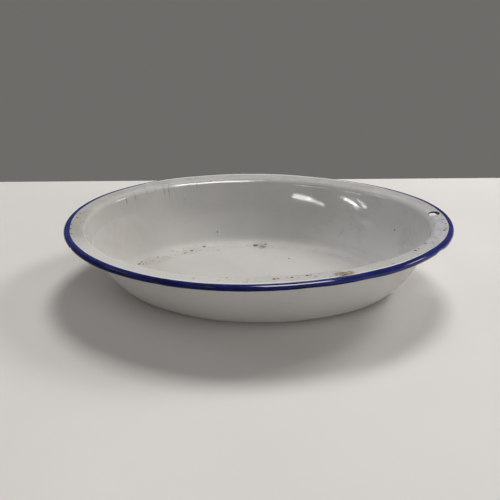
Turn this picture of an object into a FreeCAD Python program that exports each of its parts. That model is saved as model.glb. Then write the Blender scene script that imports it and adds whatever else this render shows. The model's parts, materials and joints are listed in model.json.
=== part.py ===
"""Oval enamelled dish, used as a developing tray: one pressed steel pan and its fired enamel coats.

Millimetres, +Z up. The origin is on the underside of the floor, at the middle of the oval;
+X runs along the oval's length. The outline is an eight-arc oval, so every surface of the pan
is one section revolved about the centres of those arcs.
"""

import FreeCAD, Part
import math
import os
from FreeCAD import Vector

# Overall size, over the enamelled rim
LENGTH = 252.0
WIDTH = 180.0
HEIGHT = 45.7

# Sheet and coats
STEEL = 0.65
COAT = 0.25
FULL_DEPTH = STEEL + 2 * COAT

# Rolled rim: outside radius of the enamelled bead, and how far its sheet is rolled round
RIM_RADIUS = 2.1
ROLL_ANGLE = math.radians(290)
BLUE_START = math.radians(8)     # white coat ends and blue begins this far past the bead's top
SEAM_CLEARANCE = 2.0      # the white underside starts this far inside the bead's centre

# Section of the pan, on its finished inner surface; slopes are from the horizontal
FLANGE_WIDTH = 10.5       # bead centre to the corner that the bend rounds off
FLANGE_SLOPE = math.radians(6)
BEND_RADIUS = 4.5
WALL_TOP_SLOPE = math.radians(79.5)
WALL_FOOT_SLOPE = math.radians(51.5)
FOOT_RADIUS = 8.0
FLOOR_INSET = 45.0        # bead centre to where the flat floor becomes one plate

# Oval: its radii as shares of the matching ellipse's end and side radii
END_SHARE = 1.06
SIDE_SHARE = 0.94

# Hanging hole, punched square to the flange
HOLE_RADIUS = 3.3
HOLE_INSET = 5.7          # bead centre to hole centre
HOLE_BEARING = math.radians(5)

UP = Vector(0, 0, 1)
BEAD_HEIGHT = HEIGHT - RIM_RADIUS


def oval_arcs():
    """The bead's centre line as eight tangent arcs: (centre x, centre y, radius, start, sweep)."""
    a = LENGTH / 2 - RIM_RADIUS
    b = WIDTH / 2 - RIM_RADIUS
    end = END_SHARE * b * b / a
    side = SIDE_SHARE * a * a / b
    shoulder = math.sqrt(end * side)
    # The shoulder arc's centre is shoulder - end from the end's centre and side - shoulder
    # from the side's centre, which makes it tangent to both.
    end_x, side_y = a - end, b - side
    near, far = shoulder - end, side - shoulder
    gap = math.hypot(end_x, side_y)
    along = (near * near - far * far + gap * gap) / (2 * gap)
    across = math.sqrt(near * near - along * along)
    ux, uy = -end_x / gap, side_y / gap
    x = end_x + along * ux + across * uy
    y = along * uy - across * ux
    end_angle = math.atan2(-y, end_x - x)
    side_angle = math.atan2(y - side_y, x)
    quarter = math.pi / 2
    spans = [
        (end_x, 0, end, -end_angle, 2 * end_angle),
        (x, y, shoulder, end_angle, side_angle - end_angle),
        (0, side_y, side, side_angle, 2 * (quarter - side_angle)),
        (-x, y, shoulder, 2 * quarter - side_angle, side_angle - end_angle),
    ]
    turned = [(-cx, -cy, r, start + 2 * quarter, sweep) for cx, cy, r, start, sweep in spans]
    return spans + turned


OVAL = oval_arcs()


class Section:
    """The pan's section in (inset, height): inset is measured inwards from the bead's centre."""

    def __init__(self):
        slope, top, foot = FLANGE_SLOPE, WALL_TOP_SLOPE, WALL_FOOT_SLOPE
        back = BEND_RADIUS * math.tan((top - slope) / 2)
        start = FLANGE_WIDTH - back * math.cos(slope)
        height = BEAD_HEIGHT + (RIM_RADIUS - start * math.sin(slope)) / math.cos(slope)
        self.bend = (start - BEND_RADIUS * math.sin(slope), height - BEND_RADIUS * math.cos(slope))
        wall_s, wall_z = self.on_bend(0, top)
        drop = wall_z - FULL_DEPTH - FOOT_RADIUS * (1 - math.cos(foot))
        self.wall_radius = drop / (math.cos(foot) - math.cos(top))
        self.wall = (wall_s + self.wall_radius * math.sin(top), wall_z + self.wall_radius * math.cos(top))
        foot_s, _ = self.on_wall(0, foot)
        self.foot = (foot_s + FOOT_RADIUS * math.sin(foot), FULL_DEPTH + FOOT_RADIUS)

    def on_flange(self, depth, inset):
        rise = (RIM_RADIUS - depth - inset * math.sin(FLANGE_SLOPE)) / math.cos(FLANGE_SLOPE)
        return inset, BEAD_HEIGHT + rise

    def on_bend(self, depth, slope):
        radius = BEND_RADIUS - depth
        return self.bend[0] + radius * math.sin(slope), self.bend[1] + radius * math.cos(slope)

    def on_wall(self, depth, slope):
        radius = self.wall_radius + depth
        return self.wall[0] - radius * math.sin(slope), self.wall[1] - radius * math.cos(slope)

    def on_foot(self, depth, slope):
        radius = FOOT_RADIUS + depth
        return self.foot[0] - radius * math.sin(slope), self.foot[1] - radius * math.cos(slope)

    def on_roll(self, depth, angle):
        """A point of the rolled rim: the angle runs from the top, outwards and round."""
        radius = RIM_RADIUS - depth
        return -radius * math.sin(angle), BEAD_HEIGHT + radius * math.cos(angle)

    def skin(self, depth, first):
        """Edges from the point first on the flange, down the wall and along the floor."""
        bend, top, foot = FLANGE_SLOPE, WALL_TOP_SLOPE, WALL_FOOT_SLOPE
        floor_end = (FLOOR_INSET, FULL_DEPTH - depth)
        return [
            [first, self.on_bend(depth, bend)],
            [self.on_bend(depth, a) for a in (bend, (bend + top) / 2, top)],
            [self.on_wall(depth, a) for a in (top, (top + foot) / 2, foot)],
            [self.on_foot(depth, a) for a in (foot, foot / 2, 0)],
            [self.on_foot(depth, 0), floor_end],
        ]

    def roll(self, depth, first=-FLANGE_SLOPE, last=ROLL_ANGLE):
        """An arc round the bead at this depth, running from its last angle back to its first."""
        return [self.on_roll(depth, a) for a in (last, (first + last) / 2, first)]


SECTION = Section()


def closed(outer, inner):
    """Joins two chains of edges that run the same way into one loop."""
    back = [edge[::-1] for edge in reversed(inner)]
    return outer + [[outer[-1][-1], back[0][0]]] + back + [[back[-1][-1], outer[0][0]]]


def revolve_section(loop, arc):
    """One stretch of the oval: the loop, stood on the arc's first radius and turned along it."""
    cx, cy, radius, start, sweep = arc

    def stand(point):
        out = radius - point[0]
        return Vector(cx + out * math.cos(start), cy + out * math.sin(start), point[1])

    edges = []
    for points in loop:
        stood = [stand(p) for p in points]
        edges.append(Part.Arc(*stood).toShape() if len(stood) == 3 else Part.makeLine(*stood))
    face = Part.Face(Part.Wire(edges))
    return face.revolve(Vector(cx, cy, 0), UP, math.degrees(sweep))


def floor_plate(bottom, top):
    """The middle of the floor, inside the eight revolved stretches."""
    edges = []
    for cx, cy, radius, start, sweep in OVAL:
        r = radius - FLOOR_INSET
        angles = (start, start + sweep / 2, start + sweep)
        edges.append(Part.Arc(*[Vector(cx + r * math.cos(a), cy + r * math.sin(a), bottom)
                                for a in angles]).toShape())
    return Part.Face(Part.Wire(edges)).extrude(Vector(0, 0, top - bottom))


def round_the_oval(loop, plate=None):
    stretches = [revolve_section(loop, arc) for arc in OVAL]
    others = stretches[1:] + ([plate] if plate else [])
    return stretches[0].multiFuse(others).removeSplitter()


def hanging_hole():
    """The punch, square to the flange, and the point where its axis meets the flange's top."""
    cx, cy, radius, _, _ = OVAL[0]
    reach = radius - HOLE_INSET
    # The bearing is from the oval's middle, so the radius from the arc's centre turns further.
    turn = HOLE_BEARING + math.asin(cx * math.sin(HOLE_BEARING) / reach)
    inset, height = SECTION.on_flange(0, HOLE_INSET)
    out = Vector(math.cos(turn), math.sin(turn), 0)
    centre = Vector(cx, cy, 0) + out * reach + UP * height
    axis = UP * math.cos(FLANGE_SLOPE) - out * math.sin(FLANGE_SLOPE)
    overshoot = 2.0
    punch = Part.makeCylinder(HOLE_RADIUS, FULL_DEPTH + 2 * overshoot, centre + axis * overshoot, -axis)
    return punch, centre, axis


def steel_pan():
    """Pressed and rolled steel sheet: floor, wall, flange and the hollow rim."""
    near, far = COAT, COAT + STEEL
    outer = [SECTION.roll(near)] + SECTION.skin(near, SECTION.on_roll(near, -FLANGE_SLOPE))
    inner = [SECTION.roll(far)] + SECTION.skin(far, SECTION.on_roll(far, -FLANGE_SLOPE))
    return round_the_oval(closed(outer, inner), floor_plate(FULL_DEPTH - far, FULL_DEPTH - near))


def inner_white_enamel():
    """White coat from the top of the bead over the flange, the inside of the wall and the floor."""
    outer = [SECTION.roll(0, last=BLUE_START)] + SECTION.skin(0, SECTION.on_roll(0, -FLANGE_SLOPE))
    inner = [SECTION.roll(COAT, last=BLUE_START)] + SECTION.skin(COAT, SECTION.on_roll(COAT, -FLANGE_SLOPE))
    return round_the_oval(closed(outer, inner), floor_plate(FULL_DEPTH - COAT, FULL_DEPTH))


def outer_white_enamel():
    """White coat under the flange, on the outside of the wall and under the floor."""
    near, far = COAT + STEEL, FULL_DEPTH
    outer = SECTION.skin(near, SECTION.on_flange(near, SEAM_CLEARANCE))
    inner = SECTION.skin(far, SECTION.on_flange(far, SEAM_CLEARANCE))
    return round_the_oval(closed(outer, inner), floor_plate(FULL_DEPTH - far, FULL_DEPTH - near))


def blue_rim_enamel():
    """Blue coat round the bead, from near its top to the sheet's cut edge."""
    outer = [SECTION.roll(0, first=BLUE_START)]
    inner = [SECTION.roll(COAT, first=BLUE_START)]
    return round_the_oval(closed(outer, inner))


def main():
    os.makedirs("parts", exist_ok=True)
    punch, centre, axis = hanging_hole()
    pieces = {
        "steel_pan": steel_pan().cut(punch),
        "inner_white_enamel": inner_white_enamel().cut(punch),
        "outer_white_enamel": outer_white_enamel().cut(punch),
        "blue_rim_enamel": blue_rim_enamel(),
    }
    for name, shape in pieces.items():
        box = shape.BoundBox
        print(name, len(shape.Solids), "solid", shape.isValid(), f"{shape.Volume:.0f} mm3",
              f"{box.XLength:.2f} x {box.YLength:.2f}, z {box.ZMin:.2f} to {box.ZMax:.2f}")
        shape.exportStep(f"parts/{name}.step")
    print("hanging hole", centre, axis)


main()
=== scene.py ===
import json
import math

import bpy
import numpy as np
from mathutils import Matrix, Vector

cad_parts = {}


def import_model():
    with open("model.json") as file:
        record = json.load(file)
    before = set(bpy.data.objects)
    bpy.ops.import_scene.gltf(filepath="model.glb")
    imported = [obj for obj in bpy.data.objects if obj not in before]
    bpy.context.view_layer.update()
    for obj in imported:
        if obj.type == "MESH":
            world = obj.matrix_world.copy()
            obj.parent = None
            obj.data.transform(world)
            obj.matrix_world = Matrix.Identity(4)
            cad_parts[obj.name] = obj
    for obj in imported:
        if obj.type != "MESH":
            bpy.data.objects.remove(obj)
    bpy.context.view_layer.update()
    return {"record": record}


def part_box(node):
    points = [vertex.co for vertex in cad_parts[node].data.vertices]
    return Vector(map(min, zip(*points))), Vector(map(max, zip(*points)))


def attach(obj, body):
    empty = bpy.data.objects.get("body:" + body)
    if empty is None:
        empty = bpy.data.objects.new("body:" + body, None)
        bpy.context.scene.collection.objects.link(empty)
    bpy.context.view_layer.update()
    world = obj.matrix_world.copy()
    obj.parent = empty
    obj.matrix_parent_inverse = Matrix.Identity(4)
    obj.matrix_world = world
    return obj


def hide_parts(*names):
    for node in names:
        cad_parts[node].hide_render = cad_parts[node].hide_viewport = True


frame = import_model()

MM = 0.001

# ---------------------------------------------------------------- sizes, in millimetres

BLUE_LOW, BLUE_HIGH = [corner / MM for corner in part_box("blue_rim_enamel")]
WHITE_LOW, WHITE_HIGH = [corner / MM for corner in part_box("inner_white_enamel")]
HEIGHT = WHITE_HIGH.z
RIM_RADIUS = (HEIGHT - BLUE_LOW.z) / 2
BEAD_HEIGHT = HEIGHT - RIM_RADIUS
HALF_LENGTH = (BLUE_HIGH.x - BLUE_LOW.x) / 2 - RIM_RADIUS
HALF_WIDTH = (BLUE_HIGH.y - BLUE_LOW.y) / 2 - RIM_RADIUS
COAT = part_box("steel_pan")[0].z / MM
FULL_DEPTH = WHITE_LOW.z + COAT
STEEL = FULL_DEPTH - 2 * COAT

ROLL_ANGLE = math.radians(290)
BLUE_LAP = 0.35           # how far the white coat runs on under the blue one
FLANGE_WIDTH = 10.5
FLANGE_SLOPE = math.radians(6)
BEND_RADIUS = 4.5
WALL_TOP_SLOPE = math.radians(79.5)
WALL_FOOT_SLOPE = math.radians(51.5)
FOOT_RADIUS = 8.0
FLOOR_INSET = 45.0
END_SHARE = 1.06
SIDE_SHARE = 0.94
HOLE_RADIUS = 3.3

LAP_END = 2.8             # inset from which the white coat no longer follows the blue's edge
BURIED = 0.12             # how far a coat's hidden side lies inside the steel
CHIP_DEPTH = COAT + 0.07  # a chip's floor lies this deep, just under the steel's surface
OUTER_START = 2.0         # inset at which the white coat under the flange starts
BLUE_PROUD = 0.03         # how far the blue coat stands out over the white one
BLUE_TUCK = 0.08          # how deep its two edges are tucked in
FAR_INSIDE = 60.0         # inset given to middle points that lie in no arc's sector
ANGLE_SLACK = 1e-6        # radians by which an arc's sector is widened, so that none is missed
SMOOTH_ANGLE = 50         # degrees; edges sharper than this stay sharp


# ---------------------------------------------------------------- the oval and the section

def oval_arcs():
    """The bead's centre line as eight tangent arcs: (centre x, centre y, radius, start, sweep)."""
    a, b = HALF_LENGTH, HALF_WIDTH
    end = END_SHARE * b * b / a
    side = SIDE_SHARE * a * a / b
    shoulder = math.sqrt(end * side)
    end_x, side_y = a - end, b - side
    near, far = shoulder - end, side - shoulder
    gap = math.hypot(end_x, side_y)
    along = (near * near - far * far + gap * gap) / (2 * gap)
    across = math.sqrt(near * near - along * along)
    ux, uy = -end_x / gap, side_y / gap
    x = end_x + along * ux + across * uy
    y = along * uy - across * ux
    end_angle = math.atan2(-y, end_x - x)
    side_angle = math.atan2(y - side_y, x)
    quarter = math.pi / 2
    spans = [
        (end_x, 0, end, -end_angle, 2 * end_angle),
        (x, y, shoulder, end_angle, side_angle - end_angle),
        (0, side_y, side, side_angle, 2 * (quarter - side_angle)),
        (-x, y, shoulder, 2 * quarter - side_angle, side_angle - end_angle),
    ]
    turned = [(-cx, -cy, r, start + 2 * quarter, sweep) for cx, cy, r, start, sweep in spans]
    return spans + turned


OVAL = oval_arcs()
ARC_ENDS = np.cumsum([0.0] + [r * sweep for _, _, r, _, sweep in OVAL])
AROUND = ARC_ENDS[-1]


def on_oval(u):
    """Points (x, y) and outward normals (nx, ny) of the bead's centre line at the distances u."""
    u = np.asarray(u, float) % AROUND
    k = np.clip(np.searchsorted(ARC_ENDS, u, side="right") - 1, 0, len(OVAL) - 1)
    cx, cy, r, start, _ = np.array(OVAL)[k].T
    angle = start + (u - ARC_ENDS[k]) / r
    nx, ny = np.cos(angle), np.sin(angle)
    return cx + r * nx, cy + r * ny, nx, ny


def locate(x, y):
    """Inset from the bead's centre line and distance along it, for points of the dish."""
    inset = np.full(np.shape(x), np.nan)
    u = np.zeros(np.shape(x))
    for k, (cx, cy, r, start, sweep) in enumerate(OVAL):
        turn = (np.arctan2(y - cy, x - cx) - start) % (2 * math.pi)
        mine = np.isnan(inset) & (turn <= sweep + ANGLE_SLACK)
        inset = np.where(mine, r - np.hypot(x - cx, y - cy), inset)
        u = np.where(mine, ARC_ENDS[k] + turn * r, u)
    return np.nan_to_num(inset, nan=FAR_INSIDE), u


class Section:
    """The pan's section in (inset, height); depth counts from the finished inner surface."""

    def __init__(self):
        slope, top, foot = FLANGE_SLOPE, WALL_TOP_SLOPE, WALL_FOOT_SLOPE
        back = BEND_RADIUS * math.tan((top - slope) / 2)
        start = FLANGE_WIDTH - back * math.cos(slope)
        height = BEAD_HEIGHT + (RIM_RADIUS - start * math.sin(slope)) / math.cos(slope)
        self.bend = (start - BEND_RADIUS * math.sin(slope), height - BEND_RADIUS * math.cos(slope))
        wall_s = self.bend[0] + BEND_RADIUS * math.sin(top)
        wall_z = self.bend[1] + BEND_RADIUS * math.cos(top)
        drop = wall_z - FULL_DEPTH - FOOT_RADIUS * (1 - math.cos(foot))
        self.wall_radius = drop / (math.cos(foot) - math.cos(top))
        self.wall = (wall_s + self.wall_radius * math.sin(top),
                     wall_z + self.wall_radius * math.cos(top))
        foot_s = self.wall[0] - self.wall_radius * math.sin(foot)
        self.foot = (foot_s + FOOT_RADIUS * math.sin(foot), FULL_DEPTH + FOOT_RADIUS)

    def roll(self, first, last, count):
        """Stops round the bead from angle first to last, counted outwards from its top."""
        return [("roll", a) for a in np.linspace(first, last, count)]

    def crest(self, t, depth):
        """(inset, height) at the distance t inward from the bead's top, on bead or flange."""
        bent = np.minimum(t, RIM_RADIUS * FLANGE_SLOPE)
        radius = RIM_RADIUS - depth
        s = radius * np.sin(bent / RIM_RADIUS) + (t - bent) * math.cos(FLANGE_SLOPE)
        z = BEAD_HEIGHT + radius * np.cos(bent / RIM_RADIUS) - (t - bent) * math.sin(FLANGE_SLOPE)
        return s, z

    def skin(self, flange, bend, wall, foot, floor, start):
        """Stops from the inset start to the floor; the numbers are stops per stretch."""
        stops = [("flange", s) for s in np.linspace(start, self.bend_start(), flange)]
        stops += [("bend", a) for a in np.linspace(FLANGE_SLOPE, WALL_TOP_SLOPE, bend)[1:]]
        stops += [("wall", a) for a in np.linspace(WALL_TOP_SLOPE, WALL_FOOT_SLOPE, wall)[1:]]
        stops += [("foot", a) for a in np.linspace(WALL_FOOT_SLOPE, 0, foot)[1:]]
        stops += [("floor", s) for s in np.linspace(self.foot[0], FLOOR_INSET, floor)[1:]]
        return stops

    def bend_start(self):
        """Inset at which the flat flange ends."""
        return self.bend[0] + BEND_RADIUS * math.sin(FLANGE_SLOPE)

    def place(self, stop, depth):
        """(inset, height) of a stop at this depth; depth may be an array."""
        kind, t = stop
        if kind == "roll":
            radius = RIM_RADIUS - depth
            return -radius * np.sin(t), BEAD_HEIGHT + radius * np.cos(t)
        if kind == "flange":
            rise = (RIM_RADIUS - depth - t * math.sin(FLANGE_SLOPE)) / math.cos(FLANGE_SLOPE)
            return t + 0 * depth, BEAD_HEIGHT + rise
        if kind == "bend":
            radius = BEND_RADIUS - depth
            return self.bend[0] + radius * math.sin(t), self.bend[1] + radius * math.cos(t)
        if kind == "wall":
            radius = self.wall_radius + depth
            return self.wall[0] - radius * math.sin(t), self.wall[1] - radius * math.cos(t)
        if kind == "foot":
            radius = FOOT_RADIUS + depth
            return self.foot[0] - radius * math.sin(t), self.foot[1] - radius * math.cos(t)
        return t + 0 * depth, FULL_DEPTH - depth


SECTION = Section()


# ---------------------------------------------------------------- wear on the rim and the pan

def ripple(u, seed, waves):
    """A smooth closed wobble round the oval, about -1 to 1."""
    rng = np.random.default_rng(seed)
    turn = 2 * math.pi * np.asarray(u) / AROUND
    total, weight = 0, 0
    for k in waves:
        share = rng.uniform(0.5, 1)
        total = total + share * np.cos(k * turn + rng.uniform(0, 2 * math.pi))
        weight += share * share
    return total / math.sqrt(2 * weight)


def near(u, centre, width):
    """A bump of height 1 centred on a distance along the rim."""
    away = (np.asarray(u) - centre + AROUND / 2) % AROUND - AROUND / 2
    return np.exp(-(away / width) ** 2)


def bearing(degrees):
    """Distance along the rim where a line at this bearing from the dish's middle meets it."""
    u = np.linspace(0, AROUND, 20001)
    x, y, _, _ = on_oval(u)
    turn = (np.degrees(np.arctan2(y, x)) - degrees + 180) % 360 - 180
    return u[np.argmin(np.abs(turn))]


# Where the blue coat's brushed edge runs: (bearing, distance inward from the bead's top)
BLUE_EDGE = [
    (-180, 1.7), (-169, 2.2), (-158, 1.35), (-141, 1.0), (-131, 0.3), (-120, -0.1),
    (-108, -0.35), (-87, -0.35), (-72, -0.1), (-60, 0.1), (-37, 0.25), (-25, 0.8), (-10, 1.1),
    (8, 1.4), (30, 1.0), (42, 0.4), (56, -0.1), (138, -0.1), (150, 1.0), (180, 1.7),
]


def blue_edge(u):
    """Distance inward from the bead's top at which the blue coat ends."""
    x, y, _, _ = on_oval(u)
    edge = np.interp(np.degrees(np.arctan2(y, x)), *zip(*BLUE_EDGE))
    return edge + 0.05 * ripple(u, 11, range(12, 40))


# Flats that knocks have left in the roll: (bearing, half width, depth)
DENTS = [
    (-157.0, 2.2, 0.50), (-20.5, 5.5, 0.70), (-48.0, 10.0, 0.30), (-66.0, 9.0, 0.24),
    (-118.0, 7.0, 0.15), (101.0, 7.0, 0.12), (35.0, 6.0, 0.15),
]

# Chips: (bearing, stop, long half-axis along the rim, half-axis across it)
CHIPS = [
    (-54.6, ("flange", 1.9), 1.9, 0.6),
    (-157.0, ("roll", 1.85), 1.5, 0.7),
    (-142.0, ("roll", 1.95), 1.7, 0.45),
    (-118.0, ("roll", 1.90), 2.4, 0.5),
    (-24.0, ("roll", 2.35), 1.2, 0.5),
    (63.0, ("roll", 1.35), 1.5, 0.6),
    (147.0, ("roll", 2.0), 1.1, 0.5),
    (-98.0, ("roll", 2.6), 1.6, 0.6),
]
CHIP_RAGGED = 0.22        # how far noise moves a chip's edge, in half-axes
CHIP_GRAIN = 2.6          # how fine that noise is
CHIP_EDGE = 1.06          # where a chip starts, in half-axes
CHIP_SLOPE = 0.16         # over how many half-axes it reaches its full depth
CHIP_SEED = 40

RIM_TWIST = (0.39, -1.03)  # how far the rim rises with twice the bearing: cosine and sine part
RIM_WAVE = 0.10            # finer rise and fall of the rim
RIM_SPREAD = 0.12          # how far the rim bulges outwards
FLOOR_CROWN = 0.35         # how far the floor's middle is lifted
CROWN_INSET = 42           # inset at which that lift starts


def hash_noise(points, seed):
    """Smooth noise from -1 to 1 at 3-D points, the same on every run."""
    rng = np.random.default_rng(seed)
    total = np.zeros(len(points))
    for _ in range(7):
        wave = rng.normal(size=3)
        wave *= rng.uniform(0.6, 1.5) / np.linalg.norm(wave)
        total += np.sin(points @ wave + rng.uniform(0, 2 * math.pi))
    return total / 3.0


def chip_depth(points, u):
    """How deep the coat is chipped at each point, 0 to 1."""
    depth = np.zeros(len(points))
    for k, (degrees, stop, long, short) in enumerate(CHIPS):
        centre_u = bearing(degrees)
        x, y, nx, ny = on_oval(centre_u)
        s, z = SECTION.place(stop, 0.0)
        centre = np.array([x - s * nx, y - s * ny, z])
        away = points - centre
        along = away @ np.array([-ny, nx, 0.0])
        across = np.sqrt(np.maximum((away ** 2).sum(1) - along ** 2, 0))
        ragged = CHIP_RAGGED * hash_noise(points * CHIP_GRAIN, CHIP_SEED + k)
        reach = np.hypot(along / long, across / short) + ragged
        depth = np.maximum(depth, np.clip((CHIP_EDGE - reach) / CHIP_SLOPE, 0, 1))
    return depth


def settle(x, y, z):
    """The set that years of use have put in the pan: a twisted rim and a slightly crowned floor."""
    turn = np.arctan2(y / HALF_WIDTH, x / HALF_LENGTH)
    _, u = locate(x, y)
    lift = np.clip(z / BEAD_HEIGHT, 0, 1)
    twist = RIM_TWIST[0] * np.cos(2 * turn) + RIM_TWIST[1] * np.sin(2 * turn)
    twist = twist + RIM_WAVE * ripple(u, 3, range(3, 9))
    spread = RIM_SPREAD * lift ** 2 * ripple(u, 4, range(3, 10))
    middle = np.hypot(x / (HALF_LENGTH - CROWN_INSET), y / (HALF_WIDTH - CROWN_INSET))
    crown = FLOOR_CROWN * np.clip(1 - middle ** 2, 0, 1) ** 2
    return x + spread * np.cos(turn), y + spread * np.sin(turn), z + lift * twist + crown


# ---------------------------------------------------------------- meshes

CHIP_STEP = 0.3           # spacing of the stations at a chip
HOLE_STEP = 0.4           # and at the hanging hole
HOLE_BEARING = 5.0
HALVINGS = 32             # the count is a multiple of this, so that disk can halve it five times
DISK_SHARES = (0.86, 0.72, 0.56, 0.40, 0.24, 0.10)   # sizes of the floor's rings
SPARSE = 48               # rings with this few points aren't halved
HOLE_SIDES = 96
PUNCH_REACH = 0.004       # metres the punch reaches above and below the flange


def stations(step):
    """Distances round the oval, closer together where the rim is chipped and round the hole."""
    fine = np.linspace(0, AROUND, 40001)
    density = np.full(len(fine), 1 / step)
    for degrees, _, long, _ in CHIPS:
        density += near(fine, bearing(degrees), long + 1.2) * (1 / CHIP_STEP - 1 / step)
    density += near(fine, bearing(HOLE_BEARING), 5.0) * (1 / HOLE_STEP - 1 / step)
    total = np.concatenate([[0], np.cumsum((density[1:] + density[:-1]) / 2 * np.diff(fine))])
    count = int(total[-1] / HALVINGS) * HALVINGS
    return np.interp(np.arange(count) / count * total[-1], total, fine)


def bead_flat(u):
    """How much thinner the bead is at each distance, from dents and an uneven roll."""
    flat = 0.025 * ripple(u, 8, range(9, 26)) + 0.012 * ripple(u, 9, range(30, 60))
    for degrees, width, depth in DENTS:
        flat = flat + depth * near(u, bearing(degrees), width) ** 2
    return flat


def sheet_points(stops, depth, u):
    """Grid (stop, station) of points at a depth, which may differ from stop to stop.

    A "blue" stop is a share of the way from the blue coat's edge round to the roll's end. A "lap"
    stop is a share of the way from the white coat's hidden edge to LAP_END on the flange.
    """
    x, y, nx, ny = on_oval(u)
    flat = bead_flat(u)
    edge = blue_edge(u)
    rows = []
    for (kind, t), deep in zip(stops, np.broadcast_to(depth, len(stops))):
        if kind == "blue":
            t = (1 - t) * edge - t * RIM_RADIUS * ROLL_ANGLE
        if kind == "lap":
            t = (1 - t) * (edge - BLUE_LAP) + t * LAP_END
        if kind in ("blue", "lap"):
            turned = np.maximum(-t, 0) / RIM_RADIUS
            s, z = SECTION.crest(t, deep + flat * (0.5 - 0.5 * np.cos(turned)))
        else:
            knocked = flat * (0.5 - 0.5 * math.cos(t)) if kind == "roll" else 0
            s, z = SECTION.place((kind, t), deep + knocked)
        rows.append(np.stack([x - s * nx, y - s * ny, z + 0 * x], -1))
    return np.array(rows)


def chipped(grid, under, u):
    """Sinks a coat's outer grid towards its hidden side wherever it is chipped."""
    flat = grid.reshape(-1, 3)
    depth = chip_depth(flat, np.tile(u, len(grid)))[:, None]
    way = (under - grid).reshape(-1, 3)
    length = np.linalg.norm(way, axis=1)[:, None]
    return (flat + depth * way * CHIP_DEPTH / np.maximum(length, 1e-6)).reshape(grid.shape)


def disk(ring, height, first, sign):
    """Fills the floor inside a ring of vertices; returns the new vertices and the faces."""
    verts, faces = [], []
    outer = list(range(first, first + len(ring)))
    points = np.array(ring)
    for share in DISK_SHARES:
        halve = len(outer) > SPARSE and len(outer) % 2 == 0
        points = points[::2] if halve else points
        base = points * [share, share, 0]
        start = first + len(ring) + len(verts)
        inner = list(range(start, start + len(points)))
        verts += [(x, y, height) for x, y, _ in base]
        n = len(inner)
        for i in range(n):
            j = (i + 1) % n
            if halve:
                a, b, c = outer[2 * i], outer[2 * i + 1], outer[(2 * i + 2) % len(outer)]
                faces += [(a, b, inner[i]), (b, c, inner[j]), (b, inner[j], inner[i])]
            else:
                faces.append((outer[i], outer[j], inner[j], inner[i]))
        outer = inner
    faces.append(tuple(outer))
    return verts, [f if sign > 0 else f[::-1] for f in faces]


def to_object(name, verts, faces):
    """Makes the mesh, with the pan's set applied, and links it."""
    points = np.array(verts, float)
    points = np.stack(settle(*points.T), -1)
    mesh = bpy.data.meshes.new(name)
    mesh.from_pydata((points * MM).tolist(), [], faces)
    mesh.validate()
    obj = bpy.data.objects.new(name, mesh)
    bpy.context.scene.collection.objects.link(obj)
    return obj


def ring_faces(rows, count, flip):
    """Quads between successive rings of a grid."""
    faces = []
    for r in range(rows - 1):
        for i in range(count):
            j = (i + 1) % count
            quad = (r * count + i, (r + 1) * count + i, (r + 1) * count + j, r * count + j)
            faces.append(quad if flip else quad[::-1])
    return faces


def lathe(name, top, bottom, floor):
    """A closed shell: two grids, the edge between them, and a floor or else a second edge."""
    count = top.shape[1]
    t, b = len(top), len(bottom)
    verts = top.reshape(-1, 3).tolist() + bottom.reshape(-1, 3).tolist()
    base = t * count
    faces = ring_faces(t, count, True)
    faces += [tuple(base + v for v in f) for f in ring_faces(b, count, False)]
    edges = [(0, base, False)]
    if not floor:
        edges.append(((t - 1) * count, base + (b - 1) * count, True))
    for upper, lower, flip in edges:
        for i in range(count):
            j = (i + 1) % count
            quad = (upper + i, upper + j, lower + j, lower + i)
            faces.append(quad[::-1] if flip else quad)
    if floor:
        for grid, first, sign in ((top, (t - 1) * count, 1), (bottom, base + (b - 1) * count, -1)):
            more, fill = disk(grid[-1], grid[-1][0][2], 0, sign)
            ring = list(range(first, first + count))
            shift = len(verts) - count
            verts += more
            faces += [tuple(ring[v] if v < count else v + shift for v in f) for f in fill]
    return to_object(name, verts, faces)


def smooth(obj):
    """Shades a piece smooth, but for its sharp edges."""
    mesh = obj.data
    mesh.polygons.foreach_set("use_smooth", [True] * len(mesh.polygons))
    mesh.set_sharp_from_angle(angle=math.radians(SMOOTH_ANGLE))


def punch(obj, radius, ragged, seed):
    """Cuts the hanging hole through a piece; ragged is how far its edge wanders."""
    mount = next(m for m in frame["record"]["mounts"] if m["name"] == "hanging_hole")
    centre = Vector(mount["pos_m"])
    axis = Vector(mount["axis"]).normalized()
    side = axis.cross(Vector((0, 1, 0))).normalized()
    other = axis.cross(side)
    rng = np.random.default_rng(seed)
    phases = rng.uniform(0, 2 * math.pi, 6)
    n = HOLE_SIDES
    verts = []
    for height in (-PUNCH_REACH, PUNCH_REACH):
        for i in range(n):
            a = 2 * math.pi * i / n
            wander = sum(math.cos((k + 2) * a + p) / (k + 1) for k, p in enumerate(phases))
            r = (radius + ragged * (0.5 + 0.3 * wander)) * MM
            spoke = centre + side * (r * math.cos(a)) + other * (r * math.sin(a))
            verts.append(spoke + axis * height)
    faces = [(i, (i + 1) % n, n + (i + 1) % n, n + i) for i in range(n)]
    faces += [tuple(range(n))[::-1], tuple(range(n, 2 * n))]
    mesh = bpy.data.meshes.new("punch")
    mesh.from_pydata([tuple(v) for v in verts], [], faces)
    mesh.validate()
    cutter = bpy.data.objects.new("punch", mesh)
    bpy.context.scene.collection.objects.link(cutter)
    cut = obj.modifiers.new("punch", "BOOLEAN")
    cut.operation = "DIFFERENCE"
    cut.solver = "EXACT"
    cut.object = cutter
    graph = bpy.context.evaluated_depsgraph_get()
    result = bpy.data.meshes.new_from_object(obj.evaluated_get(graph))
    obj.modifiers.clear()
    obj.data = result
    obj.data.name = obj.name
    bpy.data.objects.remove(cutter)


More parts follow.
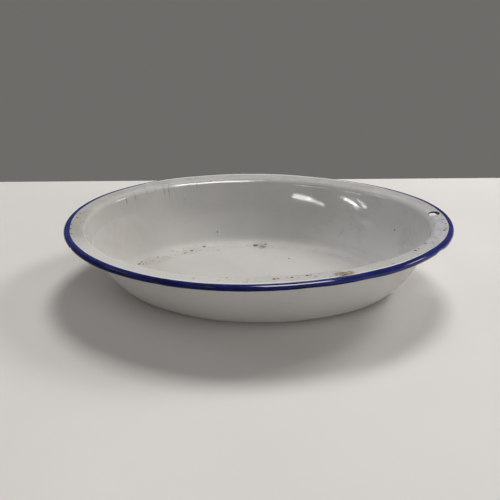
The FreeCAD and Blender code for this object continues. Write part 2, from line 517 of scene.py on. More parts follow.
def measure(obj):
    """Stores on each vertex its inset, place round the rim, height and how chipped it is."""
    mesh = obj.data
    co = np.zeros(len(mesh.vertices) * 3)
    mesh.vertices.foreach_get("co", co)
    points = co.reshape(-1, 3) / MM
    inset, u = locate(points[:, 0], points[:, 1])
    turn = 2 * math.pi * u / AROUND
    values = {
        "inset": inset,
        "round_cos": np.cos(turn),
        "round_sin": np.sin(turn),
        "chip": chip_depth(points, u),
        "height": points[:, 2],
    }
    for name, data in values.items():
        layer = mesh.attributes.new(name, "FLOAT", "POINT")
        layer.data.foreach_set("value", data.astype(np.float32))


def cheap(step):
    """The spacing of the stations, returned as it is given."""
    return step


def build_inner():
    u = stations(cheap(1.15))
    stops = [("lap", share) for share in np.linspace(0, 1, 10)[:-1]]
    stops += SECTION.skin(15, 9, 22, 8, 4, start=LAP_END)
    coarse = [("lap", share) for share in np.linspace(0, 1, 6)[:-1]]
    coarse += SECTION.skin(4, 6, 12, 6, 2, start=LAP_END)
    top = sheet_points(stops, 0.0, u)
    under = sheet_points(stops, COAT + BURIED, u)
    bottom = sheet_points(coarse, COAT + BURIED, u)
    obj = lathe("white_inner", chipped(top, under, u), bottom, True)
    punch(obj, HOLE_RADIUS, 0.10, 5)
    smooth(obj)
    return obj


def build_outer():
    u = stations(cheap(1.5))
    stops = SECTION.skin(8, 8, 26, 9, 4, start=OUTER_START)
    coarse = SECTION.skin(4, 6, 14, 6, 2, start=OUTER_START)
    hidden = sheet_points(coarse, COAT + STEEL - BURIED, u)
    seen = sheet_points(stops, FULL_DEPTH, u)
    obj = lathe("white_outer", hidden, seen, True)
    punch(obj, HOLE_RADIUS, 0.25, 6)
    smooth(obj)
    return obj


def build_blue():
    u = stations(cheap(1.0))
    shares = np.concatenate([[-0.008, 0.0, 0.008, 0.018], np.linspace(0.03, 1, 34)])
    stops = [("blue", share) for share in shares]
    depth = np.full(len(stops), -BLUE_PROUD)
    depth[:3] = BLUE_TUCK, 0.0, -0.022
    depth[-1] = BLUE_TUCK
    outer = sheet_points(stops, depth, u)
    under = sheet_points(stops, COAT + BURIED, u)
    coarse = [("blue", share) for share in np.linspace(shares[0], 1, 20)]
    inner = sheet_points(coarse, COAT + BURIED, u)
    obj = lathe("blue_rim", chipped(outer, under, u), inner, False)
    for polygon in obj.data.polygons:  # its stops run outwards, so lathe left the faces inside out
        polygon.flip()
    smooth(obj)
    return obj


def build_steel():
    u = stations(cheap(1.8))
    roll = SECTION.roll(ROLL_ANGLE, -FLANGE_SLOPE, 26)[:-1]
    stops = roll + SECTION.skin(8, 7, 20, 7, 2, start=RIM_RADIUS * math.sin(FLANGE_SLOPE))
    inside = sheet_points(stops, COAT, u)
    outside = sheet_points(stops, COAT + STEEL, u)
    obj = lathe("pan_steel", inside, outside, True)
    punch(obj, HOLE_RADIUS, 0.0, 7)
    smooth(obj)
    return obj


# ---------------------------------------------------------------- materials

class Shader:
    """A short way to write a node material."""

    def __init__(self, name):
        self.material = bpy.data.materials.new(name)
        self.material.use_nodes = True
        self.tree = self.material.node_tree
        self.tree.nodes.clear()
        self.output = self.tree.nodes.new("ShaderNodeOutputMaterial")
        self.principled = self.tree.nodes.new("ShaderNodeBsdfPrincipled")
        self.tree.links.new(self.principled.outputs[0], self.output.inputs["Surface"])
        self.coords = self.tree.nodes.new("ShaderNodeTexCoord").outputs["Object"]

    def put(self, socket, value):
        """Links a socket, sets a constant, or leaves the default for None."""
        if isinstance(value, bpy.types.NodeSocket):
            self.tree.links.new(value, socket)
        elif value is not None:
            socket.default_value = value

    def math(self, operation, a, b=None):
        node = self.tree.nodes.new("ShaderNodeMath")
        node.operation = operation
        for socket, value in zip(node.inputs, (a, b)):
            self.put(socket, value)
        return node.outputs[0]

    def stored(self, name):
        """A value that measure has stored on the mesh."""
        node = self.tree.nodes.new("ShaderNodeAttribute")
        node.attribute_name = name
        return node.outputs["Fac"]

    def between(self, value, low, high, soft):
        """1 between low and high, falling to 0 over the distance soft outside them."""
        rise = self.step(value, low - soft, low)
        fall = self.step(value, high + soft, high)
        return self.math("MULTIPLY", rise, fall)

    def step(self, value, zero, one):
        """Smooth step that is 0 at zero and 1 at one; zero may be the larger."""
        node = self.tree.nodes.new("ShaderNodeMapRange")
        node.interpolation_type = "SMOOTHSTEP"
        self.put(node.inputs["Value"], value)
        flip = zero > one
        node.inputs["From Min"].default_value = min(zero, one)
        node.inputs["From Max"].default_value = max(zero, one)
        node.inputs["To Min"].default_value = 1.0 if flip else 0.0
        node.inputs["To Max"].default_value = 0.0 if flip else 1.0
        return node.outputs[0]

    def scaled(self, vector, factors):
        node = self.tree.nodes.new("ShaderNodeVectorMath")
        node.operation = "MULTIPLY"
        self.put(node.inputs[0], vector)
        node.inputs[1].default_value = factors
        return node.outputs[0]

    def combine(self, x, y, z):
        node = self.tree.nodes.new("ShaderNodeCombineXYZ")
        for socket, value in zip(node.inputs, (x, y, z)):
            self.put(socket, value)
        return node.outputs[0]

    def noise(self, scale, detail, rough=0.5, vector=None, distort=0.0):
        node = self.tree.nodes.new("ShaderNodeTexNoise")
        self.put(node.inputs["Vector"], vector or self.coords)
        node.inputs["Scale"].default_value = scale
        node.inputs["Detail"].default_value = detail
        node.inputs["Roughness"].default_value = rough
        node.inputs["Distortion"].default_value = distort
        return node.outputs["Fac"]

    def specks(self, scale, share, size):
        """Round specks: share of the cells that hold one, and its radius in cells."""
        node = self.tree.nodes.new("ShaderNodeTexVoronoi")
        self.put(node.inputs["Vector"], self.coords)
        node.inputs["Scale"].default_value = scale
        split = self.tree.nodes.new("ShaderNodeSeparateColor")
        self.put(split.inputs[0], node.outputs["Color"])
        held = self.math("LESS_THAN", split.outputs[0], share)
        radius = self.math("MULTIPLY", split.outputs[1], size)
        close = self.math("DIVIDE", node.outputs["Distance"], self.math("ADD", radius, size * 0.3))
        return self.math("MULTIPLY", held, self.step(close, 1.0, 0.7))

    def mix(self, factor, a, b):
        """Colour a where factor is 0, b where it is 1."""
        node = self.tree.nodes.new("ShaderNodeMix")
        node.data_type = "RGBA"
        self.put(node.inputs["Factor"], factor)
        self.put(node.inputs["A"], a)
        self.put(node.inputs["B"], b)
        return node.outputs["Result"]

    def blend(self, factor, a, b):
        """The same for numbers."""
        node = self.tree.nodes.new("ShaderNodeMix")
        self.put(node.inputs["Factor"], factor)
        self.put(node.inputs["A"], a)
        self.put(node.inputs["B"], b)
        return node.outputs["Result"]

    def bump(self, height, distance, strength, normal=None):
        """Relief of this many metres, on top of another one."""
        node = self.tree.nodes.new("ShaderNodeBump")
        self.put(node.inputs["Height"], height)
        node.inputs["Distance"].default_value = distance
        node.inputs["Strength"].default_value = strength
        if normal is not None:
            self.put(node.inputs["Normal"], normal)
        return node.outputs[0]

    def set(self, **values):
        """Sets or links inputs of the surface; an underscore stands for a space."""
        for name, value in values.items():
            self.put(self.principled.inputs[name.replace("_", " ")], value)


def rgb(r, g, b):
    return (r, g, b, 1.0)


def times(sh, *factors):
    """The product of all factors."""
    out = factors[0]
    for factor in factors[1:]:
        out = sh.math("MULTIPLY", out, factor)
    return out


def highest(sh, *values):
    """The largest of the values."""
    out = values[0]
    for value in values[1:]:
        out = sh.math("MAXIMUM", out, value)
    return out


def less(sh, value):
    """1 less the value."""
    return sh.math("SUBTRACT", 1.0, value)


def up_to_one(sh, value):
    return sh.math("MINIMUM", value, 1.0)


def region(sh, x, y, radius, soft):
    """1 near a point of the dish seen from above, in millimetres."""
    away = sh.tree.nodes.new("ShaderNodeVectorMath")
    away.operation = "SUBTRACT"
    sh.put(away.inputs[0], sh.scaled(sh.coords, (1.0, 1.0, 0.0)))
    away.inputs[1].default_value = (x * MM, y * MM, 0.0)
    length = sh.tree.nodes.new("ShaderNodeVectorMath")
    length.operation = "LENGTH"
    sh.put(length.inputs[0], away.outputs[0])
    return sh.step(length.outputs["Value"], (radius + soft) * MM, radius * MM)


# Hairline cracks in the coat: (x, y) of the upper and the lower end, their heights, half width
CRACKS = [
    ((-99.5, 36.6), (-99.5, 34.1), 43.4, 37.0, 0.34),
    ((-98.6, 44.4), (-95.4, 42.0), 46.6, 44.0, 0.30),
    ((-95.6, 42.2), (-93.9, 40.8), 44.4, 38.6, 0.42),
    ((-89.9, 50.8), (-87.1, 48.0), 46.2, 41.0, 0.42),
    ((-82.1, 54.4), (-81.9, 52.0), 45.0, 41.8, 0.36),
    ((-77.2, 58.4), (-75.6, 55.2), 45.4, 36.0, 0.42),
    ((-73.3, 60.4), (-72.6, 56.0), 45.4, 32.5, 0.34),
    ((-52.4, 68.8), (-52.5, 66.4), 44.2, 37.0, 0.24),
]


def cracks(sh, height):
    """Soft dark hairlines that start at the flange's bend and run a little way down the wall."""
    wander = sh.math("MULTIPLY", sh.math("SUBTRACT", sh.noise(240.0, 3.0), 0.5), 1.8 * MM)
    broken = sh.step(sh.noise(420.0, 3.0, 0.6), 0.30, 0.52)
    lines = []
    for upper, lower, top, foot, half in CRACKS:
        run = Vector((lower[0] - upper[0], lower[1] - upper[1]))
        across = Vector((-run.y, run.x)).normalized()
        side = sh.tree.nodes.new("ShaderNodeVectorMath")
        side.operation = "DOT_PRODUCT"
        sh.put(side.inputs[0], sh.coords)
        side.inputs[1].default_value = (across.x, across.y, 0.0)
        offset = across.dot(Vector(upper)) * MM
        away = sh.math("ADD", sh.math("SUBTRACT", side.outputs["Value"], offset), wander)
        line = sh.step(sh.math("ABSOLUTE", away), half * MM, half * 0.3 * MM)
        here = region(sh, (upper[0] + lower[0]) / 2, (upper[1] + lower[1]) / 2, 3.0, 1.5)
        fade = sh.step(height, foot, 0.45 * foot + 0.55 * top)
        lines.append(times(sh, line, fade, sh.step(height, top + 0.3, top), here))
    return times(sh, highest(sh, *lines), broken)


def chip_colours(sh, colour, chip, ground):
    """The coat's broken edge: its own glass first, then the dark ground coat under it."""
    return sh.mix(sh.step(chip, 0.30, 0.55), colour, ground)


# Single dark specks and scuffs on the inside, seen from above: x, y, radius, softness
SPOTS = [
    (22.3, 25.4, 0.50, 0.40), (96.9, 30.7, 0.22, 0.22), (-36.3, 57.1, 0.20, 0.40),
    (-32.6, 36.5, 0.30, 0.50), (19.0, -81.4, 0.55, 0.70), (21.0, -81.0, 0.35, 0.60),
    (28.2, -79.3, 0.35, 0.70), (36.0, -76.8, 0.45, 0.70), (38.0, -76.4, 0.20, 0.60),
    (120.6, -0.8, 0.25, 0.50), (117.9, -17.7, 0.50, 0.80), (119.4, -15.2, 0.25, 0.50),
    (121.2, 5.3, 0.20, 0.50), (96.0, -46.4, 0.40, 0.90), (98.2, -44.0, 0.20, 0.70),
    (103.2, -36.7, 0.35, 0.90), (81.7, -63.4, 0.20, 0.50), (-116.2, -24.5, 0.30, 0.80),
    (-118.6, -18.0, 0.25, 0.70), (-113.0, -31.0, 0.20, 0.80),
]

WHITE_IOR = 1.52
BLUE_IOR = 1.54
SPECULAR_BRIGHT, SPECULAR_DULL = 0.5, 0.09     # white coat: fresh, and dulled by use
SPECULAR_BLUE, SPECULAR_UNDER = 0.42, 0.05     # blue coat: on the bead, and under it


def inner_material():
    sh = Shader("white_enamel_inside")
    inset = sh.stored("inset")
    chip = sh.stored("chip")
    cloud = sh.noise(22.0, 4.0, 0.55)
    fine = sh.noise(190.0, 3.0, 0.6)
    patchy = sh.noise(85.0, 4.0, 0.62, distort=0.7)
    colour = sh.mix(sh.step(cloud, 0.35, 0.68), rgb(0.655, 0.645, 0.625), rgb(0.605, 0.60, 0.585))
    colour = sh.mix(times(sh, sh.step(fine, 0.5, 0.75), 0.10), colour, rgb(0.50, 0.485, 0.46))

    # the flange is stained all over, the stain weighted towards the back as painted shade; the
    # bead's top is painted lighter, a painted highlight
    stain_and_shade = sh.between(inset, 1.8, 8.8, 1.2)
    # painted shade: the flange's stain counts more towards the back
    painted_shade_back = sh.step(sh.stored("round_sin"), -0.75, 0.25)
    uneven = sh.blend(sh.step(patchy, 0.36, 0.62), 0.55, 0.95)
    stain_and_shade = times(sh, stain_and_shade, uneven, sh.blend(painted_shade_back, 0.15, 1.0))
    colour = sh.mix(stain_and_shade, colour, rgb(0.455, 0.46, 0.455))
    # painted highlight: the bead's top is lighter
    colour = sh.mix(sh.step(inset, 1.5, 0.7), colour, rgb(0.78, 0.775, 0.765))

    # worn floor: faint rubbed scratches and a grey film
    floor = sh.step(inset, 36.0, 44.0)
    long_x = sh.noise(60.0, 5.0, 0.7, sh.scaled(sh.coords, (0.25, 3.2, 1.0)), 0.6)
    long_y = sh.noise(60.0, 5.0, 0.7, sh.scaled(sh.coords, (2.8, 0.3, 1.0)), 0.6)
    rubbed = highest(sh, sh.step(long_x, 0.60, 0.71), sh.step(long_y, 0.62, 0.73))
    rubbed = times(sh, rubbed, floor, 0.20)
    colour = sh.mix(rubbed, colour, rgb(0.40, 0.385, 0.36))

    # grey-blue smudges on the wall, mostly at the right, and a brownish film at the left; the
    # lighter right wall is painted light and its darker foot is painted shadow, both set to
    # match the photo's brightness
    smudge = sh.noise(48.0, 5.0, 0.62, sh.scaled(sh.coords, (1.0, 1.0, 1.6)), 0.8)
    smudge = sh.step(smudge, 0.48, 0.70)
    wall = sh.between(inset, 12.0, 38.0, 4.0)
    right = region(sh, 66.0, 4.0, 40.0, 30.0)
    # painted light: the right wall is lighter
    lit = times(sh, right, sh.between(inset, 12.0, 25.0, 7.0), 0.9)
    colour = sh.mix(lit, colour, rgb(0.80, 0.81, 0.82))
    # painted shadow: the foot below the right wall is darker
    foot = times(sh, sh.between(inset, 33.0, 43.0, 3.5), region(sh, 66.0, -4.0, 34.0, 20.0))
    colour = sh.mix(times(sh, foot, 0.70), colour, rgb(0.50, 0.505, 0.52))
    smudge = times(sh, smudge, wall, up_to_one(sh, sh.math("ADD", right, 0.16)), 0.36)
    colour = sh.mix(smudge, colour, rgb(0.44, 0.45, 0.475))
    end = region(sh, -112.0, 0.0, 32.0, 34.0)
    colour = sh.mix(times(sh, end, 0.62), colour, rgb(0.475, 0.462, 0.44))
    tan = times(sh, sh.step(patchy, 0.42, 0.66), end, 0.26)
    colour = sh.mix(tan, colour, rgb(0.46, 0.395, 0.345))
    colour = sh.mix(times(sh, floor, 0.22), colour, rgb(0.46, 0.43, 0.41))

    # dirt caught in the crease where the wall meets the floor
    crease = sh.between(inset, 35.0, 45.0, 3.5)
    line = sh.between(inset, 39.5, 44.5, 1.6)
    stretched = sh.combine(times(sh, sh.stored("round_cos"), 0.11),
                           times(sh, sh.stored("round_sin"), 0.11),
                           times(sh, inset, 0.0022))
    streak = sh.step(sh.noise(150.0, 4.0, 0.7, stretched, 0.3), 0.54, 0.68)
    dirty = sh.math("ADD", region(sh, -72.0, 14.0, 13.0, 10.0), region(sh, -55.0, 31.0, 16.0, 12.0))
    dirty = up_to_one(sh, sh.math("ADD", dirty, 0.18))
    grime = times(sh, streak, line, dirty, 0.60)
    ragged = sh.noise(380.0, 4.0, 0.7)
    smear = times(sh, region(sh, -4.6, 46.3, 1.2, 1.8), sh.step(ragged, 0.35, 0.55))
    tail = times(sh, region(sh, 0.4, 46.4, 2.6, 4.6), sh.step(ragged, 0.40, 0.58), 0.7)
    grime = highest(sh, grime, smear, tail)
    film = times(sh, crease, sh.step(patchy, 0.35, 0.6), sh.blend(dirty, 0.10, 0.30))
    colour = sh.mix(film, colour, rgb(0.46, 0.40, 0.33))
    colour = sh.mix(grime, colour, rgb(0.10, 0.075, 0.05))

    # pits and specks: few and fine everywhere, clusters along the crease and on the back wall
    everywhere = sh.specks(95.0, 0.14, 0.060)
    clusters = sh.step(sh.noise(30.0, 3.0, 0.6), 0.50, 0.66)
    more = times(sh, sh.specks(260.0, 0.55, 0.30), crease, dirty, sh.step(ragged, 0.36, 0.50))
    back = times(sh, sh.specks(190.0, 0.22, 0.15), clusters, wall, 0.75)
    specks = highest(sh, everywhere, more, back)
    colour = sh.mix(times(sh, specks, 0.85), colour, rgb(0.06, 0.048, 0.04))

    # flange: brown and grey rub marks, most at the right and along the front; its tints differ
    # from end to end to match the photo's brightness: lighter and bluer at the right end, with
    # grey-blue patches, grey-green at the left end, and lighter at the front as painted light
    flange = sh.between(inset, 1.6, 9.5, 0.8)
    marks = sh.step(sh.noise(330.0, 4.0, 0.72, distort=0.5), 0.57, 0.69)
    spots = sh.math("ADD", region(sh, 119.0, -5.0, 8.0, 8.0), region(sh, 101.0, -45.0, 11.0, 9.0))
    spots = sh.math("ADD", spots, region(sh, 14.0, -82.0, 32.0, 18.0))
    spots = sh.math("ADD", spots, region(sh, -117.0, -10.0, 9.0, 9.0))
    spots = sh.math("ADD", spots, 0.14)
    right_end = times(sh, region(sh, 114.0, -16.0, 20.0, 18.0), flange)
    colour = sh.mix(times(sh, right_end, 0.7), colour, rgb(0.59, 0.585, 0.625))
    cool = sh.step(sh.noise(170.0, 4.0, 0.65, distort=0.9), 0.48, 0.62)
    colour = sh.mix(times(sh, cool, right_end, 0.55), colour, rgb(0.36, 0.37, 0.43))
    left_end = times(sh, region(sh, -116.0, -16.0, 15.0, 12.0), flange)
    left_end = times(sh, left_end, sh.blend(patchy, 0.2, 0.9))
    colour = sh.mix(left_end, colour, rgb(0.37, 0.375, 0.325))
    # painted light: the front of the flange is lighter
    front = times(sh, region(sh, -55.0, -76.0, 42.0, 30.0), flange)
    colour = sh.mix(times(sh, front, 0.6), colour, rgb(0.74, 0.73, 0.71))
    marks = times(sh, marks, flange, up_to_one(sh, spots), 0.72)
    colour = sh.mix(marks, colour, rgb(0.22, 0.20, 0.175))
    dots = times(sh, sh.specks(300.0, 0.30, 0.26), flange, spots, 0.75)
    colour = sh.mix(dots, colour, rgb(0.07, 0.06, 0.05))

    # single specks and scuffs
    lone = highest(sh, *[region(sh, *spot) for spot in SPOTS])
    lone = times(sh, lone, sh.step(ragged, 0.18, 0.42), 0.92)
    colour = sh.mix(lone, colour, rgb(0.07, 0.06, 0.05))

    # rust that has bled from the chip at the front and from the hole
    rusty = sh.math("ADD", region(sh, 53.4, -76.0, 2.0, 2.6), region(sh, 58.0, -74.4, 1.0, 2.6))
    rusty = up_to_one(sh, sh.math("ADD", rusty, region(sh, 117.4, 10.3, 3.3, 0.5)))
    bleed = times(sh, rusty, sh.step(ragged, 0.30, 0.50), 0.85)
    rust = sh.mix(sh.step(fine, 0.40, 0.62), rgb(0.34, 0.19, 0.085), rgb(0.20, 0.175, 0.15))
    colour = sh.mix(bleed, colour, rust)
    scab = times(sh, rusty, sh.step(ragged, 0.56, 0.64), 0.8)
    colour = sh.mix(scab, colour, rgb(0.05, 0.04, 0.032))

    crack = cracks(sh, sh.stored("height"))
    colour = sh.mix(times(sh, crack, 0.60), colour, rgb(0.075, 0.07, 0.065))
    colour = chip_colours(sh, colour, chip, rgb(0.03, 0.028, 0.03))

    # glossy on the upper wall, dulled by use lower down and at the left end
    worn_end = times(sh, region(sh, -108.0, -2.0, 34.0, 20.0), sh.step(inset, 12.0, 15.0), 0.75)
    fresh_end = less(sh, worn_end)
    dull = less(sh, times(sh, sh.step(inset, 24.0, 13.5), fresh_end))
    rough = sh.blend(dull, 0.06, sh.blend(patchy, 0.40, 0.62))
    rough = sh.math("ADD", rough, times(sh, sh.step(cloud, 0.4, 0.75), 0.04))
    rough = sh.blend(highest(sh, marks, grime, smudge), rough, 0.45)
    rough = sh.blend(times(sh, stain_and_shade, 0.35), rough, 0.40)
    rough = sh.blend(highest(sh, crack, sh.step(chip, 0.2, 0.5)), rough, 0.7)
    peel = sh.noise(260.0, 2.0, 0.5)
    wave = sh.noise(38.0, 2.0, 0.45)
    normal = sh.bump(wave, distance=0.00020, strength=0.35)
    normal = sh.bump(peel, distance=0.00003, strength=0.35, normal=normal)
    sunk = less(sh, highest(sh, crack, specks, rubbed))
    normal = sh.bump(sunk, distance=0.00010, strength=0.6, normal=normal)
    sh.set(Base_Color=colour, Roughness=rough, Normal=normal, IOR=WHITE_IOR)
    # this one is linked, so the export drops it and the lower wall comes out glossier there
    sheen = times(sh, sh.step(inset, 19.5, 14.5), fresh_end)
    sh.set(Specular_IOR_Level=sh.blend(sheen, SPECULAR_DULL, SPECULAR_BRIGHT))
    return sh.material


def outer_material():
    sh = Shader("white_enamel_outside")
    inset = sh.stored("inset")
    height = sh.stored("height")
    cloud = sh.noise(20.0, 4.0, 0.55)
    colour = sh.mix(sh.step(cloud, 0.35, 0.7), rgb(0.645, 0.635, 0.612), rgb(0.60, 0.59, 0.568))

    # scuffed ring where the pan stands and slides, and metal marks on it
    stands = sh.step(height, 0.55, 0.05)
    edge = sh.between(inset, 30.0, 36.5, 1.5)
    scuff = sh.noise(240.0, 5.0, 0.7, distort=0.9)
    scuffed = times(sh, stands, sh.step(scuff, 0.50, 0.70), 0.30)
    ring = times(sh, edge, sh.step(scuff, 0.42, 0.6), sh.step(height, 1.6, 0.2), 0.6)
    worn = highest(sh, scuffed, ring)
    colour = sh.mix(worn, colour, rgb(0.30, 0.285, 0.26))

    # smoke-brown film low on the wall and runs below the rim
    low = sh.step(height, 16.0, 1.0)
    film = times(sh, low, sh.step(sh.noise(34.0, 4.0, 0.6), 0.40, 0.70), 0.20)
    colour = sh.mix(film, colour, rgb(0.46, 0.42, 0.36))
    stain = times(sh, region(sh, 100.0, -36.0, 9.0, 12.0), 0.45)
    colour = sh.mix(stain, colour, rgb(0.50, 0.47, 0.40))
    specks = sh.specks(100.0, 0.13, 0.06)
    colour = sh.mix(times(sh, specks, 0.85), colour, rgb(0.06, 0.05, 0.04))
    scratches = sh.noise(70.0, 5.0, 0.7, sh.scaled(sh.coords, (1.0, 1.0, 5.0)), 0.7)
    scratches = times(sh, sh.step(scratches, 0.66, 0.74), 0.22)
    colour = sh.mix(scratches, colour, rgb(0.35, 0.34, 0.32))

    rough = sh.blend(highest(sh, worn, film), 0.10, 0.45)
    normal = sh.bump(sh.noise(36.0, 2.0, 0.45), distance=0.0005, strength=0.3)
    normal = sh.bump(sh.noise(250.0, 2.0), distance=0.00006, strength=0.35, normal=normal)
    sunk = less(sh, highest(sh, specks, worn))
    normal = sh.bump(sunk, distance=0.00008, strength=0.5, normal=normal)
    sh.set(Base_Color=colour, Roughness=rough, Normal=normal, IOR=WHITE_IOR)
    return sh.material


def blue_material():
    sh = Shader("blue_enamel")
    chip = sh.stored("chip")
    height = sh.stored("height")
    pooled = sh.noise(75.0, 4.0, 0.6, sh.scaled(sh.coords, (1.0, 1.0, 0.6)), 0.4)
    colour = sh.mix(sh.step(pooled, 0.36, 0.66), rgb(0.009, 0.014, 0.128), rgb(0.017, 0.026, 0.235))
    # painted shade: darker underneath and at the back, to match the photo's brightness
    under = sh.step(height, BEAD_HEIGHT + 1.3, BEAD_HEIGHT - 0.2)
    colour = sh.mix(times(sh, under, 0.68), colour, rgb(0.002, 0.003, 0.020))
    # painted shade: the rim is darker at the back
    painted_shade_behind = sh.step(sh.stored("round_sin"), 0.05, 0.45)
    colour = sh.mix(times(sh, painted_shade_behind, 0.30), colour, rgb(0.004, 0.005, 0.045))
    pits = sh.specks(420.0, 0.16, 0.20)
    colour = sh.mix(times(sh, pits, 0.7), colour, rgb(0.002, 0.002, 0.006))
    rubbed = sh.step(sh.noise(260.0, 5.0, 0.72, distort=0.8), 0.64, 0.72)
    colour = sh.mix(times(sh, rubbed, 0.35), colour, rgb(0.07, 0.075, 0.20))
    colour = chip_colours(sh, colour, chip, rgb(0.012, 0.010, 0.012))
    rough = sh.blend(rubbed, sh.blend(pooled, 0.05, 0.13), 0.30)
    rough = sh.blend(sh.step(chip, 0.2, 0.5), rough, 0.7)
    normal = sh.bump(sh.noise(150.0, 3.0, 0.5), distance=0.00022, strength=0.25)
    normal = sh.bump(less(sh, pits), distance=0.00006, strength=0.6, normal=normal)
    sh.set(Base_Color=colour, Roughness=rough, Normal=normal, IOR=BLUE_IOR)
    sh.set(Specular_IOR_Level=sh.blend(under, SPECULAR_BLUE, SPECULAR_UNDER))
    return sh.material


def steel_material():
    sh = Shader("bare_steel")
    coarse = sh.noise(230.0, 5.0, 0.65, distort=0.4)
    fine = sh.noise(1100.0, 4.0, 0.7)
    colour = sh.mix(sh.step(coarse, 0.38, 0.62), rgb(0.026, 0.022, 0.020), rgb(0.060, 0.034, 0.021))
    colour = sh.mix(times(sh, sh.step(fine, 0.5, 0.7), 0.6), colour, rgb(0.105, 0.054, 0.028))
    bare = sh.step(coarse, 0.66, 0.74)
    colour = sh.mix(bare, colour, rgb(0.30, 0.29, 0.28))
    normal = sh.bump(fine, distance=0.0002, strength=0.8)
    sh.set(Base_Color=colour, Metallic=times(sh, bare, 0.8), Roughness=sh.blend(bare, 0.82, 0.45),
           Normal=normal)
    return sh.material


# ---------------------------------------------------------------- build

PIECES = [
    (build_inner, "inner_white_enamel", "white_enamel_inside", inner_material),
    (build_outer, "outer_white_enamel", "white_enamel_outside", outer_material),
    (build_blue, "blue_rim_enamel", "blue_enamel", blue_material),
    (build_steel, "steel_pan", "bare_steel", steel_material),
]

for build, node, slot, material in PIECES:
    piece = build()
    measure(piece)
    piece.data.materials.clear()
    piece.data.materials.append(material())
    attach(piece, "root")
    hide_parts(node)
    print(piece.name, len(piece.data.vertices), "vertices", len(piece.data.polygons), "faces")


# ---------------------------------------------------------------- floor, lights, camera

TABLE_TURN = math.radians(2.83)
TABLE_CORNERS = [(-1.6, -1.5), (1.6, -1.5), (1.6, 0.205), (-1.6, 0.205)]
TABLE_THICKNESS = 0.02

LENS, SENSOR_WIDTH = 37.44, 36.0               # millimetres: 520 pixels over a picture 500 wide
CAMERA_PLACE = (0.03634, -0.31515, 0.18004)
CAMERA_AIM = (-0.11168, 0.88661, -0.44883)
CAMERA_ROLL = math.radians(-1.896)

BACKDROP = (0.155, 0.150, 0.142)
LAMP_TARGET = (0, 0, 0.03)
WARM = (1.0, 0.985, 0.965)
PLAIN = (1, 1, 1)

# Lamps: name, azimuth, elevation, distance, (width, height), power, colour, roll.
# These light the surfaces and aren't seen in reflections.
SHADE_LAMPS = [
    ("key_back", 15, 63, 2.2, (0.62, 0.62), 21.4, WARM, 0),
    ("key_right", 59, 38, 2.2, (0.60, 0.60), 17, WARM, 0),
    ("window_front", 155, 57, 2.5, (1.15, 0.30), 2.9, PLAIN, 0),
    ("left_fill", -90, 50, 2.5, (1.0, 1.0), 3.5, PLAIN, 0),
    ("front_fill", 125, 11, 2.5, (1.6, 1.0), 10.5, PLAIN, 0),
]
# These are seen only in reflections; their places were traced from the photo's highlights.
SHINE_LAMPS = [
    ("shine_back", -1, 63, 2.2, (1.30, 0.12), 4.0, PLAIN, 0),
    ("shine_front", 158, 54, 2.5, (1.15, 1.20), 66.0, PLAIN, 0),
    ("shine_right", 92, 22, 2.5, (0.62, 0.55), 11.0, PLAIN, 0),
    ("shine_left", -109, 27, 2.5, (0.80, 0.45), 4.5, PLAIN, -14),
    ("far_lamp_a", -157, 12.9, 2.6, (0.38, 0.20), 3.2, PLAIN, -8),
    ("far_lamp_tail", -150, 15.0, 2.6, (0.42, 0.09), 1.6, PLAIN, -26),
    ("far_lamp_b", -132, 9.4, 2.6, (0.56, 0.08), 4.0, PLAIN, -24),
    ("far_lamp_c", -124, 7.6, 2.6, (0.46, 0.06), 1.5, PLAIN, -24),
]


def stage_floor():
    """A plain pale table top, turned a little so its far edge lies level in the view."""
    c, s = math.cos(TABLE_TURN), math.sin(TABLE_TURN)
    top = [(c * x - s * y, s * x + c * y, 0.0) for x, y in TABLE_CORNERS]
    low = [(x, y, -TABLE_THICKNESS) for x, y, _ in top]
    faces = [(0, 1, 2, 3), (7, 6, 5, 4)]
    faces += [(i, i + 4, (i + 1) % 4 + 4, (i + 1) % 4) for i in range(4)]
    mesh = bpy.data.meshes.new("stage_floor")
    mesh.from_pydata(top + low, [], faces)
    floor = bpy.data.objects.new("stage_floor", mesh)
    bpy.context.scene.collection.objects.link(floor)
    sh = Shader("stage_floor")
    cloud = sh.step(sh.noise(6.0, 4.0), 0.3, 0.7)
    colour = sh.mix(cloud, rgb(0.815, 0.795, 0.775), rgb(0.78, 0.76, 0.74))
    normal = sh.bump(sh.noise(90.0, 4.0), distance=0.0004, strength=0.3)
    sh.set(Base_Color=colour, Roughness=0.75, Specular_IOR_Level=0.1, Normal=normal)
    mesh.materials.append(sh.material)


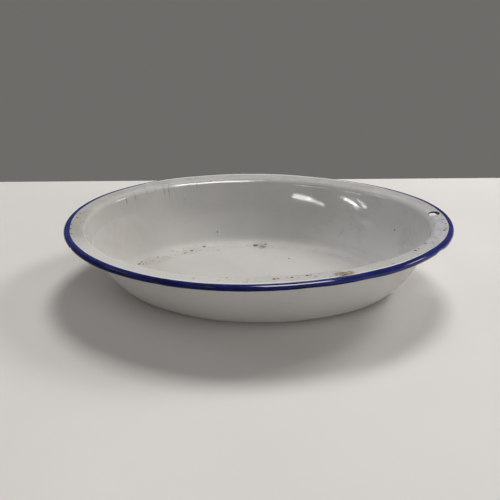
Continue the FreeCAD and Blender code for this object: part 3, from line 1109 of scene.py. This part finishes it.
def direction(azimuth, elevation):
    """Unit vector; azimuth is counted from +Y towards +X."""
    a, e = math.radians(azimuth), math.radians(elevation)
    return Vector((math.sin(a) * math.cos(e), math.cos(a) * math.cos(e), math.sin(e)))


def lamp(name, azimuth, elevation, distance, size, power, colour, roll):
    """A soft rectangular lamp that faces the dish."""
    data = bpy.data.lights.new(name, "AREA")
    data.shape = "RECTANGLE"
    data.size, data.size_y = size
    data.energy = power
    data.color = colour
    obj = bpy.data.objects.new(name, data)
    way = direction(azimuth, elevation)
    obj.location = Vector(LAMP_TARGET) + way * distance
    obj.rotation_mode = "QUATERNION"
    turn = Matrix.Rotation(math.radians(roll), 3, "Z")
    obj.rotation_quaternion = (way.to_track_quat("Z", "Y").to_matrix() @ turn).to_quaternion()
    bpy.context.scene.collection.objects.link(obj)
    return obj


def camera():
    """The camera at the place and angle fitted to the photo."""
    data = bpy.data.cameras.new("camera")
    data.sensor_width = SENSOR_WIDTH
    data.lens = LENS
    data.clip_start, data.clip_end = 0.01, 20.0
    obj = bpy.data.objects.new("camera", data)
    forward = Vector(CAMERA_AIM).normalized()
    level = Vector((forward.y, -forward.x, 0)).normalized()
    upright = level.cross(forward)
    right = level * math.cos(CAMERA_ROLL) + upright * math.sin(CAMERA_ROLL)
    up = right.cross(forward)
    turn = Matrix((right, up, -forward)).transposed().to_4x4()
    obj.matrix_world = Matrix.Translation(CAMERA_PLACE) @ turn
    bpy.context.scene.collection.objects.link(obj)
    bpy.context.scene.camera = obj


def world():
    """A plain grey surround."""
    scene_world = bpy.data.worlds.new("studio")
    scene_world.use_nodes = True
    background = scene_world.node_tree.nodes["Background"]
    background.inputs["Color"].default_value = rgb(*BACKDROP)
    background.inputs["Strength"].default_value = 1.0
    bpy.context.scene.world = scene_world


stage_floor()
for settings in SHADE_LAMPS:
    lamp(*settings).visible_glossy = False
for settings in SHINE_LAMPS:
    lamp(*settings).visible_diffuse = False
world()
camera()
bpy.context.scene.view_settings.view_transform = "Standard"
